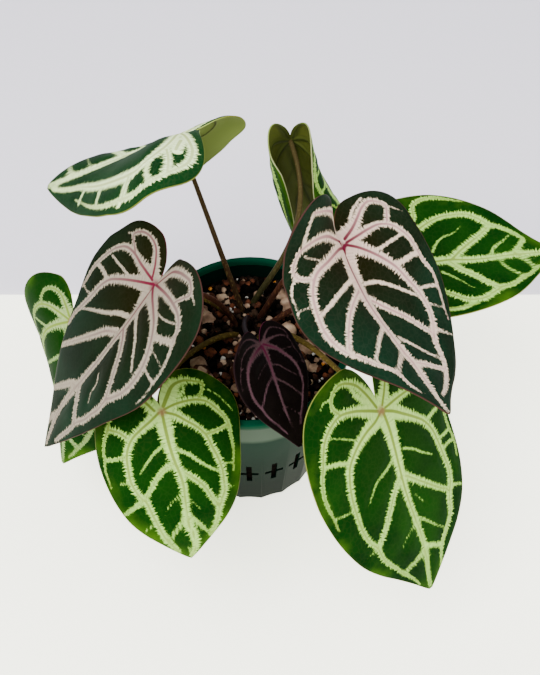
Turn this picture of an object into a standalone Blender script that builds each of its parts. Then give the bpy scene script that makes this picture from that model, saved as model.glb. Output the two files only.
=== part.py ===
"""Potted anthurium: a tapered plastic nursery pot, potting mix, and nine heart-shaped leaves on petioles.

Metres, +Z up. The origin is under the middle of the pot, on the surface it stands on, and -Y is the front.
A leaf is laid out flat as a heart, bent across and along its midrib, and then turned and put in its place.
"""

import math
import random

import bmesh
import bpy
import numpy as np
from mathutils import Euler, Matrix, Vector

MM = 0.001
GAP = 0.3
ROUND = 60

# Pot, in millimetres
POT_HEIGHT = 129.0
RIM_RADIUS = 60.0
RIM_DEPTH = 6.5
RIM_WIDTH = 3.6
RIM_ROUND = 1.6
RIM_LIP = 0.6
WALL = 1.6
FACETS = 20
FIRST_RIDGE = -82.0
BAND_BASE_RADIUS = 53.0
BAND_TAPER = 1 / 30
FOOT_RADIUS = 46.8
FACET_TAPER = 0.1015
FLOOR_RAISE = 3.2
FLOOR_THICK = 1.8
PAD_RADIUS = 16.0
ARCH_RISE = 1.6
SLOT_CENTRE = 47.0
SLOT_TALL = 26.0
SLOT_WIDE = 12.0
SLOT_ARM = 3.6
DRAIN_RING = 30.0
DRAIN_RADIUS = 3.5
DRAINS = 8
CUT_THROUGH = 20.0

# Potting mix, in millimetres
SOIL_TOP = 114.5
SOIL_RELIEF = 1.6
MOUND_RINGS = 8
MOUND_SPOKES = 40
MOUND_REACH = 53.9
MOUND_ROOT = 5.0
CHUNKS = 54
CHUNK_SIZES = (2.2, 5.2)
CHUNK_FIELD = 49.0
CHUNK_FLATNESS = 0.72
CHUNK_ROUGHNESS = (0.82, 1.12)
LARGE_CHUNKS = 6
HOLE_CLEAR = 0.6

# Leaves, in millimetres
BLADE_THICK = 0.8
BLADE_RINGS = 5
BLADE_SPOKES = 34
HALF_WIDTH = 0.45
PETIOLE_RADIUS = 1.8
PETIOLE_POINTS = 14
PETIOLE_DEPTH = 16.0
STRAIGHT = 2.0
TOP_TAPER = 0.75
TOP_CLEAR = 0.1

# Flat heart: the margin's distance from the junction, for a leaf of length 1, by the angle from its tip
HEART_ANGLES = (0, 6, 12, 19, 27, 36, 45, 56, 67, 85, 105, 118, 132, 145, 156, 168, 180)
HEART_RADII = (1.0, .90, .83, .775, .72, .655, .60, .55, .52, .49, .45, .43, .41, .38, .33, .20, .05)
# Angles at which one leaf's margin may be fuller or leaner than that heart
FULLNESS_ANGLES = (0, 27, 56, 85, 118, 150, 180)


def leaf(junction, heading, dip, roll, length, **shape):
    """One leaf's numbers: millimetres, degrees, and fractions of its length."""
    plain = dict(wide=(1, 1), sweep=0, bend=10, lobe_bend=10, curl=(20, 20), lobe_rise=(0, 0), base_rise=(0, 0),
                 tip_rise=(0, 0), lobe=1, fuller_left=(0,) * 5, fuller_right=(0,) * 5, wave=0.008, waves=6,
                 foot=(0, 0), slope=(0, 0), upright=0.3, lean=(-0.5, 0), stoop=0.3)
    return {**plain, **shape, "junction": junction, "heading": heading, "dip": dip, "roll": roll, "length": length}


# Each pair is the leaf's left, then its right, looking from the junction to the tip from above.
# foot, slope and upright shape the petiole at its foot, and lean and stoop at the blade.
LEAVES = {
    "back_left": leaf((-40, 80, 212), -171, 18, 13, 106, wide=(1.12, 1), sweep=-.4, bend=30, lobe_bend=20,
                      curl=(43, 120), lobe_rise=(-25, 25), base_rise=(60, -19), tip_rise=(-13, 17), lobe=.73,
                      fuller_left=(-.14, 0, .27, .21, -.33), fuller_right=(-.27, .05, -.13, .08, .32), waves=5,
                      foot=(-5, 28), slope=(-.37, .53), lean=(.04, .28)),
    "left": leaf((-49, -11, 194), -140, 30, 16.5, 123, wide=(.965, .91), sweep=-.12, bend=29, lobe_bend=-35,
                 curl=(38, 5), lobe_rise=(2, 10), base_rise=(35, 9), tip_rise=(12, -12), lobe=.66,
                 fuller_left=(-.10, .02, .10, .10, -.2), fuller_right=(.065, .04, -.05, -.12, -.125), waves=7,
                 foot=(-9, 17), slope=(-.3, 0)),
    "far_left": leaf((-107, 12, 126), -103, 47, 40, 100, wide=(1, 1.05), sweep=-.12, bend=13, lobe_bend=15,
                     curl=(10, 40), base_rise=(-30, 35), tip_rise=(-20, -15), fuller_left=(.05, 0, 0, 0, 0),
                     fuller_right=(.01, .01, .01, 0, -.12), waves=5, foot=(-14, 25), slope=(-.6, 0), upright=.4,
                     lean=(-1.2, 0)),
    "front_left": leaf((-46, -63, 150), -69, 22, -1, 92.6, wide=(.93, 1.03), sweep=-.07, bend=55, lobe_bend=17,
                       curl=(21, 42), base_rise=(-3, -10), tip_rise=(0, 6), lobe=.68,
                       fuller_left=(.02, -.01, .025, -.02, 0), fuller_right=(.02, .02, -.02, -.01, 0), waves=6,
                       foot=(-8, 9), slope=(-.8, -.6), upright=.25, lean=(-1.4, 0)),
    "centre": leaf((8, -39, 177), -63, 38, -17, 58, wide=(.85, .95), sweep=-.04, bend=-8, lobe_bend=4,
                   curl=(8, 16), base_rise=(-8, 35), tip_rise=(2, 0), lobe=.65,
                   fuller_left=(-.04, .09, -.02, -.04, -.02),
                   fuller_right=(-.055, .035, .015, -.045, -.03), waves=5, foot=(1, 14.5), lean=(-.6, 0)),
    "right": leaf((49, -4, 218), -59.5, 26, -31, 102, wide=(1.01, 1.14), sweep=-.08, bend=-20, lobe_bend=5,
                  curl=(2, 50), lobe_rise=(-13, 35), base_rise=(27, 32.5), tip_rise=(-8, 15), lobe=.735,
                  fuller_left=(.14, .185, -.03, .19, -.03), fuller_right=(-.015, .05, -.02, .3, -.18), waves=7,
                  foot=(6, 22), slope=(.4, 0), lean=(-.3, 0)),
    "front_right": leaf((72, -63, 151), -59, 45, -14, 122, wide=(.99, 1), bend=16, lobe_bend=-2, curl=(18, 24),
                        base_rise=(-7, 18), tip_rise=(5, 0), lobe=.99, fuller_left=(.02, -.035, .015, 0, 0),
                        fuller_right=(.01, .01, 0, .03, -.09), waves=6, foot=(6, 7), slope=(.5, -.2), upright=.33,
                        lean=(-1.2, 0)),
    "far_right": leaf((85, 35, 155), -1, -4, -8, 100, wide=(1.03, .98), sweep=.125, bend=9, lobe_bend=15,
                      curl=(-15, 12), base_rise=(2, 12), tip_rise=(3, 2), fuller_left=(.03, .05, -.07, 0, 0),
                      fuller_right=(-.01, .01, -.01, 0, 0), waves=6, foot=(12, 17), slope=(.8, 0), upright=.4,
                      lean=(-1.2, 0)),
    "back": leaf((24, 76, 214), -25, 83, -115, 103, wide=(.665, .8), sweep=-.3, bend=0, lobe_bend=7,
                 curl=(164, 150), base_rise=(-17, -19), tip_rise=(-8, 26), lobe=.54,
                 fuller_left=(-.07, .18, .11, -.11, .01), fuller_right=(-.1, .18, -.16, -.12, .07), waves=5,
                 foot=(2, 33), slope=(.35, 0), lean=(.3, -.3), stoop=.5),
}


def material(name, colour, roughness, metallic=0.0):
    made = bpy.data.materials.new(name)
    made.use_nodes = True
    shader = made.node_tree.nodes["Principled BSDF"]
    shader.inputs["Base Color"].default_value = (*colour, 1)
    shader.inputs["Roughness"].default_value = roughness
    shader.inputs["Metallic"].default_value = metallic
    return made


def add_object(name, bm, finish=None):
    """Turn a bmesh into a named object."""
    bmesh.ops.recalc_face_normals(bm, faces=bm.faces)
    mesh = bpy.data.meshes.new(name)
    bm.to_mesh(mesh)
    bm.free()
    if finish:
        mesh.materials.append(finish)
    made = bpy.data.objects.new(name, mesh)
    bpy.context.scene.collection.objects.link(made)
    return made


def boolean(target, operation, tools, solver="EXACT"):
    """Cut with, or join on, a list of objects in one go, and take those objects away."""
    group = bpy.data.collections.new("tools")
    bpy.context.scene.collection.children.link(group)
    for tool in tools:
        group.objects.link(tool)
    modifier = target.modifiers.new("shape", "BOOLEAN")
    modifier.operation = operation
    modifier.operand_type = "COLLECTION"
    modifier.collection = group
    modifier.solver = solver
    bpy.context.view_layer.update()
    shaped = bpy.data.meshes.new_from_object(target.evaluated_get(bpy.context.evaluated_depsgraph_get()))
    target.modifiers.clear()
    target.data = shaped
    for tool in tools:
        bpy.data.objects.remove(tool)
    bpy.data.collections.remove(group)


def give(made, finish):
    """Leave a shape that was cut and joined with one material."""
    made.data.materials.clear()
    made.data.materials.append(finish)


def frustum(name, low_radius, high_radius, low, high, sides, turn=0.0):
    """A cone's slice that stands on the Z axis, with a corner at the angle turn."""
    bm = bmesh.new()
    bmesh.ops.create_cone(bm, cap_ends=True, segments=sides, radius1=low_radius * MM, radius2=high_radius * MM,
                          depth=(high - low) * MM)
    bm.verts.ensure_lookup_table()
    corner = bm.verts[0].co
    spin = math.radians(turn) - math.atan2(corner.y, corner.x)
    bmesh.ops.rotate(bm, verts=bm.verts, cent=(0, 0, 0), matrix=Matrix.Rotation(spin, 3, "Z"))
    bmesh.ops.translate(bm, verts=bm.verts, vec=(0, 0, (low + high) / 2 * MM))
    return add_object(name, bm)


def pot_form(name, inset, low, high):
    """The pot's wall form: a round band above, cut by flat facets that narrow towards the foot."""
    def band(z):
        return BAND_BASE_RADIUS + BAND_TAPER * z - inset

    def facet(z):
        return FOOT_RADIUS + FACET_TAPER * z - inset / math.cos(math.pi / FACETS)

    form = frustum(name, band(low), band(high), low, high, ROUND, FIRST_RIDGE)
    facets = frustum("facets", facet(low - 1), facet(high + 1), low - 1, high + 1, FACETS, FIRST_RIDGE)
    boolean(form, "INTERSECT", [facets])
    return form


def box(name, sizes, centre, turn):
    """A box of the given sizes round centre, then turned about the Z axis."""
    bm = bmesh.new()
    bmesh.ops.create_cube(bm, size=MM)
    bmesh.ops.scale(bm, vec=sizes, verts=bm.verts)
    bmesh.ops.translate(bm, vec=Vector(centre) * MM, verts=bm.verts)
    made = add_object(name, bm)
    made.rotation_euler.z = turn
    return made


def rod(name, radius, length, sides):
    """A cylinder along Z with its middle at the origin."""
    bm = bmesh.new()
    bmesh.ops.create_cone(bm, cap_ends=True, segments=sides, radius1=radius * MM, radius2=radius * MM,
                          depth=length * MM)
    return add_object(name, bm)


def make_rim():
    """The rolled rim: a rounded band turned round the pot's mouth, with the wall's top edge inside it."""
    outer, inner = RIM_RADIUS, RIM_RADIUS - RIM_WIDTH
    top, low = POT_HEIGHT, POT_HEIGHT - RIM_DEPTH
    shoulder = RIM_ROUND * 0.3
    profile = [(outer - shoulder, low), (outer, low + shoulder), (outer, top - RIM_ROUND),
               (outer - shoulder, top - shoulder), (outer - RIM_ROUND, top), (inner + shoulder, top),
               (inner, top - shoulder), (inner - RIM_LIP, top - RIM_ROUND), (inner - RIM_LIP, low - shoulder),
               (inner, low)]
    bm = bmesh.new()
    ring = [bm.verts.new((r * MM, 0, z * MM)) for r, z in profile]
    edges = [bm.edges.new((a, b)) for a, b in zip(ring, ring[1:] + ring[:1])]
    bmesh.ops.spin(bm, geom=ring + edges, axis=(0, 0, 1), cent=(0, 0, 0), angle=math.tau, steps=ROUND,
                   use_merge=True)
    return add_object("rim", bm)


def facet_cutters(turn):
    """What is cut in one facet: the upright and the crossbar of its slot, and the arch under its foot edge."""
    reach = (FOOT_RADIUS + FACET_TAPER * SLOT_CENTRE, 0, SLOT_CENTRE)
    through = 8 * WALL
    flat = FOOT_RADIUS * math.sin(math.pi / FACETS)
    arch_radius = (flat ** 2 + ARCH_RISE ** 2) / (2 * ARCH_RISE)
    arch = rod("arch", arch_radius, through, 96)
    arch.rotation_euler = (0, math.pi / 2, turn)
    arch.location = Vector((FOOT_RADIUS * math.cos(turn), FOOT_RADIUS * math.sin(turn),
                            ARCH_RISE - arch_radius)) * MM
    return [box("slot_upright", (through, SLOT_ARM, SLOT_TALL), reach, turn),
            box("slot_crossbar", (through, SLOT_WIDE, SLOT_ARM), reach, turn), arch]


def make_pot(finish):
    wall_top = POT_HEIGHT - RIM_DEPTH / 2
    pot = pot_form("pot", 0, 0, wall_top)
    boolean(pot, "UNION", [make_rim()])
    hollow = pot_form("hollow", WALL, FLOOR_RAISE + FLOOR_THICK, POT_HEIGHT + 1)
    under = pot_form("under", WALL * 1.5, -1, FLOOR_RAISE)
    boolean(under, "DIFFERENCE", [rod("pad", PAD_RADIUS, CUT_THROUGH, ROUND)])
    cutters = [hollow, under]
    for i in range(FACETS):
        cutters += facet_cutters(math.radians(FIRST_RIDGE + (i + 0.5) * 360 / FACETS))
    for i in range(DRAINS):
        angle = math.tau * i / DRAINS
        drain = rod("drain", DRAIN_RADIUS, CUT_THROUGH, 16)
        drain.location = (DRAIN_RING * math.cos(angle) * MM, DRAIN_RING * math.sin(angle) * MM, 0)
        cutters.append(drain)
    boolean(pot, "DIFFERENCE", cutters)
    give(pot, finish)


def soil_height(x, y):
    """The mix's surface: low mounds that level out at the wall. Millimetres."""
    away = math.hypot(x, y) / (RIM_RADIUS - RIM_WIDTH)
    mounds = math.sin(x * 0.19 + 1.3) * math.cos(y * 0.23 - 0.4) + 0.6 * math.sin(x * 0.41 - y * 0.37)
    return SOIL_TOP + SOIL_RELIEF * max(0.0, 1 - away ** 4) * (0.9 + 0.7 * mounds)


def make_mounds():
    """The mix's uneven surface, as a disc with a skirt that reaches down into the mix."""
    bm = bmesh.new()
    bmesh.ops.create_grid(bm, x_segments=MOUND_RINGS, y_segments=MOUND_SPOKES, size=1)
    for v in bm.verts:
        away = (v.co.x + 1) / 2 * MOUND_REACH
        angle = v.co.y * math.pi
        x, y = away * math.cos(angle), away * math.sin(angle)
        v.co = Vector((x, y, soil_height(x, y))) * MM
    bmesh.ops.remove_doubles(bm, verts=bm.verts, dist=1e-6)
    skirt = bmesh.ops.extrude_edge_only(bm, edges=[e for e in bm.edges if e.is_boundary])["geom"]
    for v in skirt:
        if isinstance(v, bmesh.types.BMVert):
            v.co.z = (SOIL_TOP - MOUND_ROOT) * MM
    bmesh.ops.holes_fill(bm, edges=[e for e in bm.edges if e.is_boundary], sides=0)
    return add_object("mounds", bm)


def make_chunk(draw, x, y, size):
    """One lump of pumice or bark, half sunk in the mix."""
    bm = bmesh.new()
    bmesh.ops.create_icosphere(bm, subdivisions=1, radius=size * MM)
    for v in bm.verts:
        v.co *= draw.uniform(*CHUNK_ROUGHNESS)
        v.co.z *= CHUNK_FLATNESS
    turn = Matrix.Rotation(draw.uniform(0, math.tau), 3, "Z")
    bmesh.ops.rotate(bm, verts=bm.verts, cent=(0, 0, 0), matrix=turn)
    seat = soil_height(x, y) + size * draw.uniform(-0.1, 0.3)
    bmesh.ops.translate(bm, verts=bm.verts, vec=Vector((x, y, seat)) * MM)
    return add_object("chunk", bm)


def make_soil(finish, feet):
    soil = pot_form("soil", WALL + GAP, FLOOR_RAISE + FLOOR_THICK + GAP, SOIL_TOP)
    pieces = [make_mounds()]
    draw = random.Random(11)
    while len(pieces) <= CHUNKS:
        away = CHUNK_FIELD * math.sqrt(draw.random())
        angle = draw.uniform(0, math.tau)
        size = draw.uniform(*CHUNK_SIZES)
        if len(pieces) <= LARGE_CHUNKS:
            size = max(CHUNK_SIZES)
        x, y = away * math.cos(angle), away * math.sin(angle)
        clear = PETIOLE_RADIUS + HOLE_CLEAR + 1 + size
        if min(math.hypot(x - foot_x, y - foot_y) for foot_x, foot_y in feet) > clear:
            pieces.append(make_chunk(draw, x, y, size))
    boolean(soil, "UNION", pieces)
    holes = []
    for x, y in feet:
        hole = rod("hole", PETIOLE_RADIUS + HOLE_CLEAR, 2 * (PETIOLE_DEPTH + 1), 12)
        hole.location = (x * MM, y * MM, SOIL_TOP * MM)
        holes.append(hole)
    boolean(soil, "DIFFERENCE", holes)
    give(soil, finish)


def smooth(x, xs, ys):
    """A smooth curve through the points xs, ys, read at x."""
    xs, ys = np.asarray(xs, float), np.asarray(ys, float)
    step = np.diff(xs)
    rise = np.diff(ys) / step
    inner = (rise[:-1] * step[1:] + rise[1:] * step[:-1]) / (step[:-1] + step[1:])
    slope = np.concatenate([rise[:1], inner, rise[-1:]])
    i = np.clip(np.searchsorted(xs, x) - 1, 0, len(step) - 1)
    t = (x - xs[i]) / step[i]
    start = ys[i] * (1 + 2 * t) * (1 - t) ** 2 + slope[i] * step[i] * t * (1 - t) ** 2
    end = ys[i + 1] * t * t * (3 - 2 * t) + slope[i + 1] * step[i] * t * t * (t - 1)
    return start + end


def arc(run, first, turn):
    """How far along and up a line goes that starts at the angle first and bends down by turn a unit."""
    turn = np.where(np.abs(turn) < 1e-6, 1e-6, turn)
    return (np.sin(first) - np.sin(first - turn * run)) / turn, (np.cos(first - turn * run) - np.cos(first)) / turn


def blade_points(numbers, out, angle):
    """Points of the blade in its own place, in millimetres: X to the tip, Y to its left, Z up.

    out runs from 0 at the junction to 1 at the margin, and angle from -180 to 180 degrees, 0 at the tip.
    """
    length = numbers["length"]
    left = angle >= 0
    turn = np.radians(np.abs(angle))
    fuller = np.where(left, smooth(np.abs(angle), FULLNESS_ANGLES, (0, *numbers["fuller_left"], 0)),
                      smooth(np.abs(angle), FULLNESS_ANGLES, (0, *numbers["fuller_right"], 0)))
    margin = smooth(np.abs(angle), HEART_ANGLES, HEART_RADII) * (1 + fuller)
    along = out * margin * np.cos(turn)
    along = np.where(along < 0, along * numbers["lobe"], along)
    across = out * margin * np.sin(turn) * np.where(left, *numbers["wide"])
    # Each half rises from the midrib, more or less towards the tip, and curls down to its margin
    blend = np.clip((along + 0.3) / 1.3, 0, 1)
    blend = blend * blend * (3 - 2 * blend)
    base_rise = np.where(left, *numbers["base_rise"])
    tip_rise = np.where(left, *numbers["tip_rise"])
    behind = np.clip((0.1 - along) / 0.35, 0, 1)
    lobe_rise = np.where(left, *numbers["lobe_rise"]) * behind * behind * (3 - 2 * behind)
    rise = np.radians(base_rise + (tip_rise - base_rise) * blend + lobe_rise)
    curl = np.radians(np.where(left, *numbers["curl"])) / (HALF_WIDTH * length)
    side, up = arc(across * length, rise, curl)
    side = np.where(left, side, -side)
    ripple = np.sin(np.radians(angle) * numbers["waves"] + numbers["heading"]) * out ** 3 * np.sin(turn)
    up = up + numbers["wave"] * length * ripple
    # The midrib sweeps sideways, and bends down towards the tip and towards the lobes
    ahead = np.clip(along, 0, None)
    swing = np.arctan(2 * numbers["sweep"] * ahead)
    drift = numbers["sweep"] * ahead * ahead * length
    bend = np.where(along >= 0, math.radians(numbers["bend"]), -math.radians(numbers["lobe_bend"]) / 0.4)
    run, drop = arc(np.abs(along) * length, 0.0, np.abs(bend) / length)
    drop = drop * np.where(along >= 0, np.sign(bend), -np.sign(bend))
    run = np.where(along >= 0, run, -run)
    tilt = -bend * along
    x = run - side * np.sin(swing) * np.cos(tilt) - up * np.sin(tilt)
    y = drift + side * np.cos(swing)
    z = drop - side * np.sin(swing) * np.sin(tilt) + up * np.cos(tilt)
    return np.stack([x, y, z], -1)


def leaf_frame(numbers):
    """The turn and place of a leaf: its junction is its origin, X runs to its tip and Z off its upper face."""
    turn = [math.radians(numbers[k]) for k in ("roll", "dip", "heading")]
    return turn, Vector(numbers["junction"]) * MM


def make_blade(name, numbers, finish):
    bm = bmesh.new()
    bmesh.ops.create_grid(bm, x_segments=BLADE_RINGS, y_segments=BLADE_SPOKES, size=1)
    out = np.array([(v.co.x + 1) / 2 for v in bm.verts])
    angle = np.array([v.co.y * 180 for v in bm.verts])
    for v, place in zip(bm.verts, blade_points(numbers, out, angle)):
        v.co = Vector(place) * MM
    bmesh.ops.remove_doubles(bm, verts=bm.verts, dist=1e-6)
    bmesh.ops.triangulate(bm, faces=bm.faces)
    blade = add_object("leaf_" + name, bm, finish)
    if sum(p.normal.z * p.area for p in blade.data.polygons) < 0:
        blade.data.flip_normals()
    thick = blade.modifiers.new("thickness", "SOLIDIFY")
    thick.thickness = BLADE_THICK * MM
    thick.offset = -1
    blade.rotation_euler, blade.location = leaf_frame(numbers)


def petiole_route(numbers):
    """Points from the foot's lower end, up through its hole in the mix, and over to just under the junction."""
    turn, junction = leaf_frame(numbers)
    frame = Matrix.Translation(junction) @ Euler(turn).to_matrix().to_4x4()
    foot = Vector((*numbers["foot"], SOIL_TOP)) * MM
    span = (junction - foot).length
    lean = Vector((*numbers["lean"], -1)).normalized()
    droop = math.radians(max(0.0, -min(numbers["base_rise"])))
    under = BLADE_THICK + GAP + PETIOLE_RADIUS * TOP_TAPER * (math.tan(droop) + lean.xy.length) + TOP_CLEAR
    top = frame @ (Vector((0, 0, -under)) * MM)
    start = foot + Vector((0, 0, STRAIGHT * MM))
    rising = Vector((*numbers["slope"], 1)) * numbers["upright"] * span
    handles = (start, start + rising, top + frame.to_3x3() @ lean * numbers["stoop"] * span, top)
    route = [foot - Vector((0, 0, PETIOLE_DEPTH * MM))]
    for i in range(PETIOLE_POINTS):
        t = i / (PETIOLE_POINTS - 1)
        weights = ((1 - t) ** 3, 3 * t * (1 - t) ** 2, 3 * t * t * (1 - t), t ** 3)
        route.append(sum((w * h for w, h in zip(weights, handles)), Vector()))
    return route


def make_petiole(name, numbers, finish):
    """The leaf's stalk, as thick as the hole in the mix lets it be, and thinner at the blade."""
    curve = bpy.data.curves.new("petiole_" + name, "CURVE")
    curve.dimensions = "3D"
    curve.bevel_depth = PETIOLE_RADIUS * MM
    curve.bevel_resolution = 2
    curve.use_fill_caps = True
    spline = curve.splines.new("POLY")
    route = petiole_route(numbers)
    spline.points.add(len(route) - 1)
    for point, place in zip(spline.points, route):
        point.co = (*place, 1)
        point.radius = 1
    spline.points[-1].radius = TOP_TAPER
    curve.materials.append(finish)
    petiole = bpy.data.objects.new("petiole_" + name, curve)
    bpy.context.scene.collection.objects.link(petiole)


def main():
    for old in list(bpy.data.objects):
        bpy.data.objects.remove(old)
    green_plastic = material("green_plastic", (0.02, 0.12, 0.085), 0.38)
    potting_mix = material("potting_mix", (0.03, 0.02, 0.014), 0.95)
    blade_green = material("blade_green", (0.02, 0.09, 0.015), 0.45)
    blade_dark = material("blade_dark", (0.012, 0.035, 0.022), 0.5)
    blade_purple = material("blade_purple", (0.02, 0.008, 0.012), 0.5)
    stalk = material("stalk", (0.07, 0.06, 0.02), 0.5)
    finishes = {"left": blade_dark, "right": blade_dark, "centre": blade_purple}

    make_pot(green_plastic)
    make_soil(potting_mix, [numbers["foot"] for numbers in LEAVES.values()])
    for name, numbers in LEAVES.items():
        make_blade(name, numbers, finishes.get(name, blade_green))
        make_petiole(name, numbers, stalk)


main()
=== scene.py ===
"""The looks of the potted anthurium: veined velvety blades, stalks, moulded pot and chunky potting mix.

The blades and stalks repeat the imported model's forms, with a finer mesh, and each stands for its own node.
"""

import math
import random

import bmesh
import bpy
import numpy as np
from mathutils import Euler, Matrix, Vector, noise


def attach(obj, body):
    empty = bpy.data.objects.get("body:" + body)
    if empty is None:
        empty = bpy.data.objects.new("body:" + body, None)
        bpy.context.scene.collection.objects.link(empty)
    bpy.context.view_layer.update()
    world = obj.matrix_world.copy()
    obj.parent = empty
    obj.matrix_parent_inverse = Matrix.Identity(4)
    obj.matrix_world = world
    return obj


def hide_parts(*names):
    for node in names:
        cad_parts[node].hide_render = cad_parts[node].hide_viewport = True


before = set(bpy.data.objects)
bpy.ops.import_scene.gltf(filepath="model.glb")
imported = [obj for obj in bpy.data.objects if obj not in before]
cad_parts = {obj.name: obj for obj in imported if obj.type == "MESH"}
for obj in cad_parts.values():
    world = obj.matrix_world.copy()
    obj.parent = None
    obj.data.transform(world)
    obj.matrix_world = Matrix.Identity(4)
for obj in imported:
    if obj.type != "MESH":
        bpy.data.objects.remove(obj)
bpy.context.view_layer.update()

MM = 0.001

# The photograph's view, in metres, degrees and millimetres of lens on a 36 mm high film
CAMERA_PLACE = (0.0123, -0.3179, 0.6111)
CAMERA_TURN = 33.3
CAMERA_LENS = 52.0
FILM_HEIGHT = 36.0

# Pot and mix, in millimetres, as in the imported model
SOIL_TOP = 114.5
SOIL_RELIEF = 1.6
MOUTH_RADIUS = 56.4
SOIL_RADIUS = 54.6
CHUNKS = 54
CHUNK_SIZES = (2.2, 5.2)
CHUNK_FIELD = 49.0
CHUNK_FLATNESS = 0.72
CHUNK_ROUGHNESS = (0.82, 1.12)
LARGE_CHUNKS = 6
HOLE_CLEAR = 0.6

# Blades and stalks, in millimetres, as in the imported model
BLADE_THICK = 0.8
HALF_WIDTH = 0.45
PETIOLE_RADIUS = 1.8
PETIOLE_DEPTH = 16.0
STRAIGHT = 2.0
TOP_TAPER = 0.75
TOP_CLEAR = 0.1
GAP = 0.3
HEART_ANGLES = (0, 6, 12, 19, 27, 36, 45, 56, 67, 85, 105, 118, 132, 145, 156, 168, 180)
HEART_RADII = (1.0, .90, .83, .775, .72, .655, .60, .55, .52, .49, .45, .43, .41, .38, .33, .20, .05)
FULLNESS_ANGLES = (0, 27, 56, 85, 118, 150, 180)


def leaf(junction, heading, dip, roll, length, **shape):
    """One leaf's numbers: millimetres, degrees, and fractions of its length."""
    plain = dict(wide=(1, 1), sweep=0, bend=10, lobe_bend=10, curl=(20, 20), lobe_rise=(0, 0),
                 base_rise=(0, 0), tip_rise=(0, 0), lobe=1, fuller_left=(0,) * 5, fuller_right=(0,) * 5,
                 wave=0.008, waves=6, foot=(0, 0), slope=(0, 0), upright=0.3, lean=(-0.5, 0), stoop=0.3)
    own = dict(junction=junction, heading=heading, dip=dip, roll=roll, length=length)
    return {**plain, **shape, **own}


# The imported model's own leaves: each pair is the left, then the right, seen from above and towards the tip
LEAVES = {
    "back_left": leaf(
        (-40, 80, 212), -171, 18, 13, 106, wide=(1.12, 1), sweep=-.4, bend=30, lobe_bend=20,
        curl=(43, 120), lobe_rise=(-25, 25), base_rise=(60, -19), tip_rise=(-13, 17), lobe=.73,
        fuller_left=(-.14, 0, .27, .21, -.33), fuller_right=(-.27, .05, -.13, .08, .32), waves=5,
        foot=(-5, 28), slope=(-.37, .53), lean=(.04, .28)),
    "left": leaf(
        (-49, -11, 194), -140, 30, 16.5, 123, wide=(.965, .91), sweep=-.12, bend=29, lobe_bend=-35,
        curl=(38, 5), lobe_rise=(2, 10), base_rise=(35, 9), tip_rise=(12, -12), lobe=.66,
        fuller_left=(-.10, .02, .10, .10, -.2), fuller_right=(.065, .04, -.05, -.12, -.125), waves=7,
        foot=(-9, 17), slope=(-.3, 0)),
    "far_left": leaf(
        (-107, 12, 126), -103, 47, 40, 100, wide=(1, 1.05), sweep=-.12, bend=13, lobe_bend=15,
        curl=(10, 40), base_rise=(-30, 35), tip_rise=(-20, -15), fuller_left=(.05, 0, 0, 0, 0),
        fuller_right=(.01, .01, .01, 0, -.12), waves=5, foot=(-14, 25), slope=(-.6, 0), upright=.4,
        lean=(-1.2, 0)),
    "front_left": leaf(
        (-46, -63, 150), -69, 22, -1, 92.6, wide=(.93, 1.03), sweep=-.07, bend=55, lobe_bend=17,
        curl=(21, 42), base_rise=(-3, -10), tip_rise=(0, 6), lobe=.68,
        fuller_left=(.02, -.01, .025, -.02, 0), fuller_right=(.02, .02, -.02, -.01, 0), waves=6,
        foot=(-8, 9), slope=(-.8, -.6), upright=.25, lean=(-1.4, 0)),
    "centre": leaf(
        (8, -39, 177), -63, 38, -17, 58, wide=(.85, .95), sweep=-.04, bend=-8, lobe_bend=4, curl=(8, 16),
        base_rise=(-8, 35), tip_rise=(2, 0), lobe=.65, fuller_left=(-.04, .09, -.02, -.04, -.02),
        fuller_right=(-.055, .035, .015, -.045, -.03), waves=5, foot=(1, 14.5), lean=(-.6, 0)),
    "right": leaf(
        (49, -4, 218), -59.5, 26, -31, 102, wide=(1.01, 1.14), sweep=-.08, bend=-20, lobe_bend=5,
        curl=(2, 50), lobe_rise=(-13, 35), base_rise=(27, 32.5), tip_rise=(-8, 15), lobe=.735,
        fuller_left=(.14, .185, -.03, .19, -.03), fuller_right=(-.015, .05, -.02, .3, -.18), waves=7,
        foot=(6, 22), slope=(.4, 0), lean=(-.3, 0)),
    "front_right": leaf(
        (72, -63, 151), -59, 45, -14, 122, wide=(.99, 1), bend=16, lobe_bend=-2, curl=(18, 24),
        base_rise=(-7, 18), tip_rise=(5, 0), lobe=.99, fuller_left=(.02, -.035, .015, 0, 0),
        fuller_right=(.01, .01, 0, .03, -.09), waves=6, foot=(6, 7), slope=(.5, -.2), upright=.33,
        lean=(-1.2, 0)),
    "far_right": leaf(
        (85, 35, 155), -1, -4, -8, 100, wide=(1.03, .98), sweep=.125, bend=9, lobe_bend=15, curl=(-15, 12),
        base_rise=(2, 12), tip_rise=(3, 2), fuller_left=(.03, .05, -.07, 0, 0),
        fuller_right=(-.01, .01, -.01, 0, 0), waves=6, foot=(12, 17), slope=(.8, 0), upright=.4,
        lean=(-1.2, 0)),
    "back": leaf(
        (24, 76, 214), -25, 83, -115, 103, wide=(.665, .8), sweep=-.3, bend=0, lobe_bend=7,
        curl=(164, 150), base_rise=(-17, -19), tip_rise=(-8, 26), lobe=.54,
        fuller_left=(-.07, .18, .11, -.11, .01), fuller_right=(-.1, .18, -.16, -.12, .07), waves=5,
        foot=(2, 33), slope=(.35, 0), lean=(.3, -.3), stoop=.5),
}


def vein(widths, *points):
    """One vein: its pale band's widths, spread evenly along it, and the points it runs through.

    All are hundredths of the leaf's length. A point is how far towards the tip, and how far to the left.
    """
    return widths, points


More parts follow.
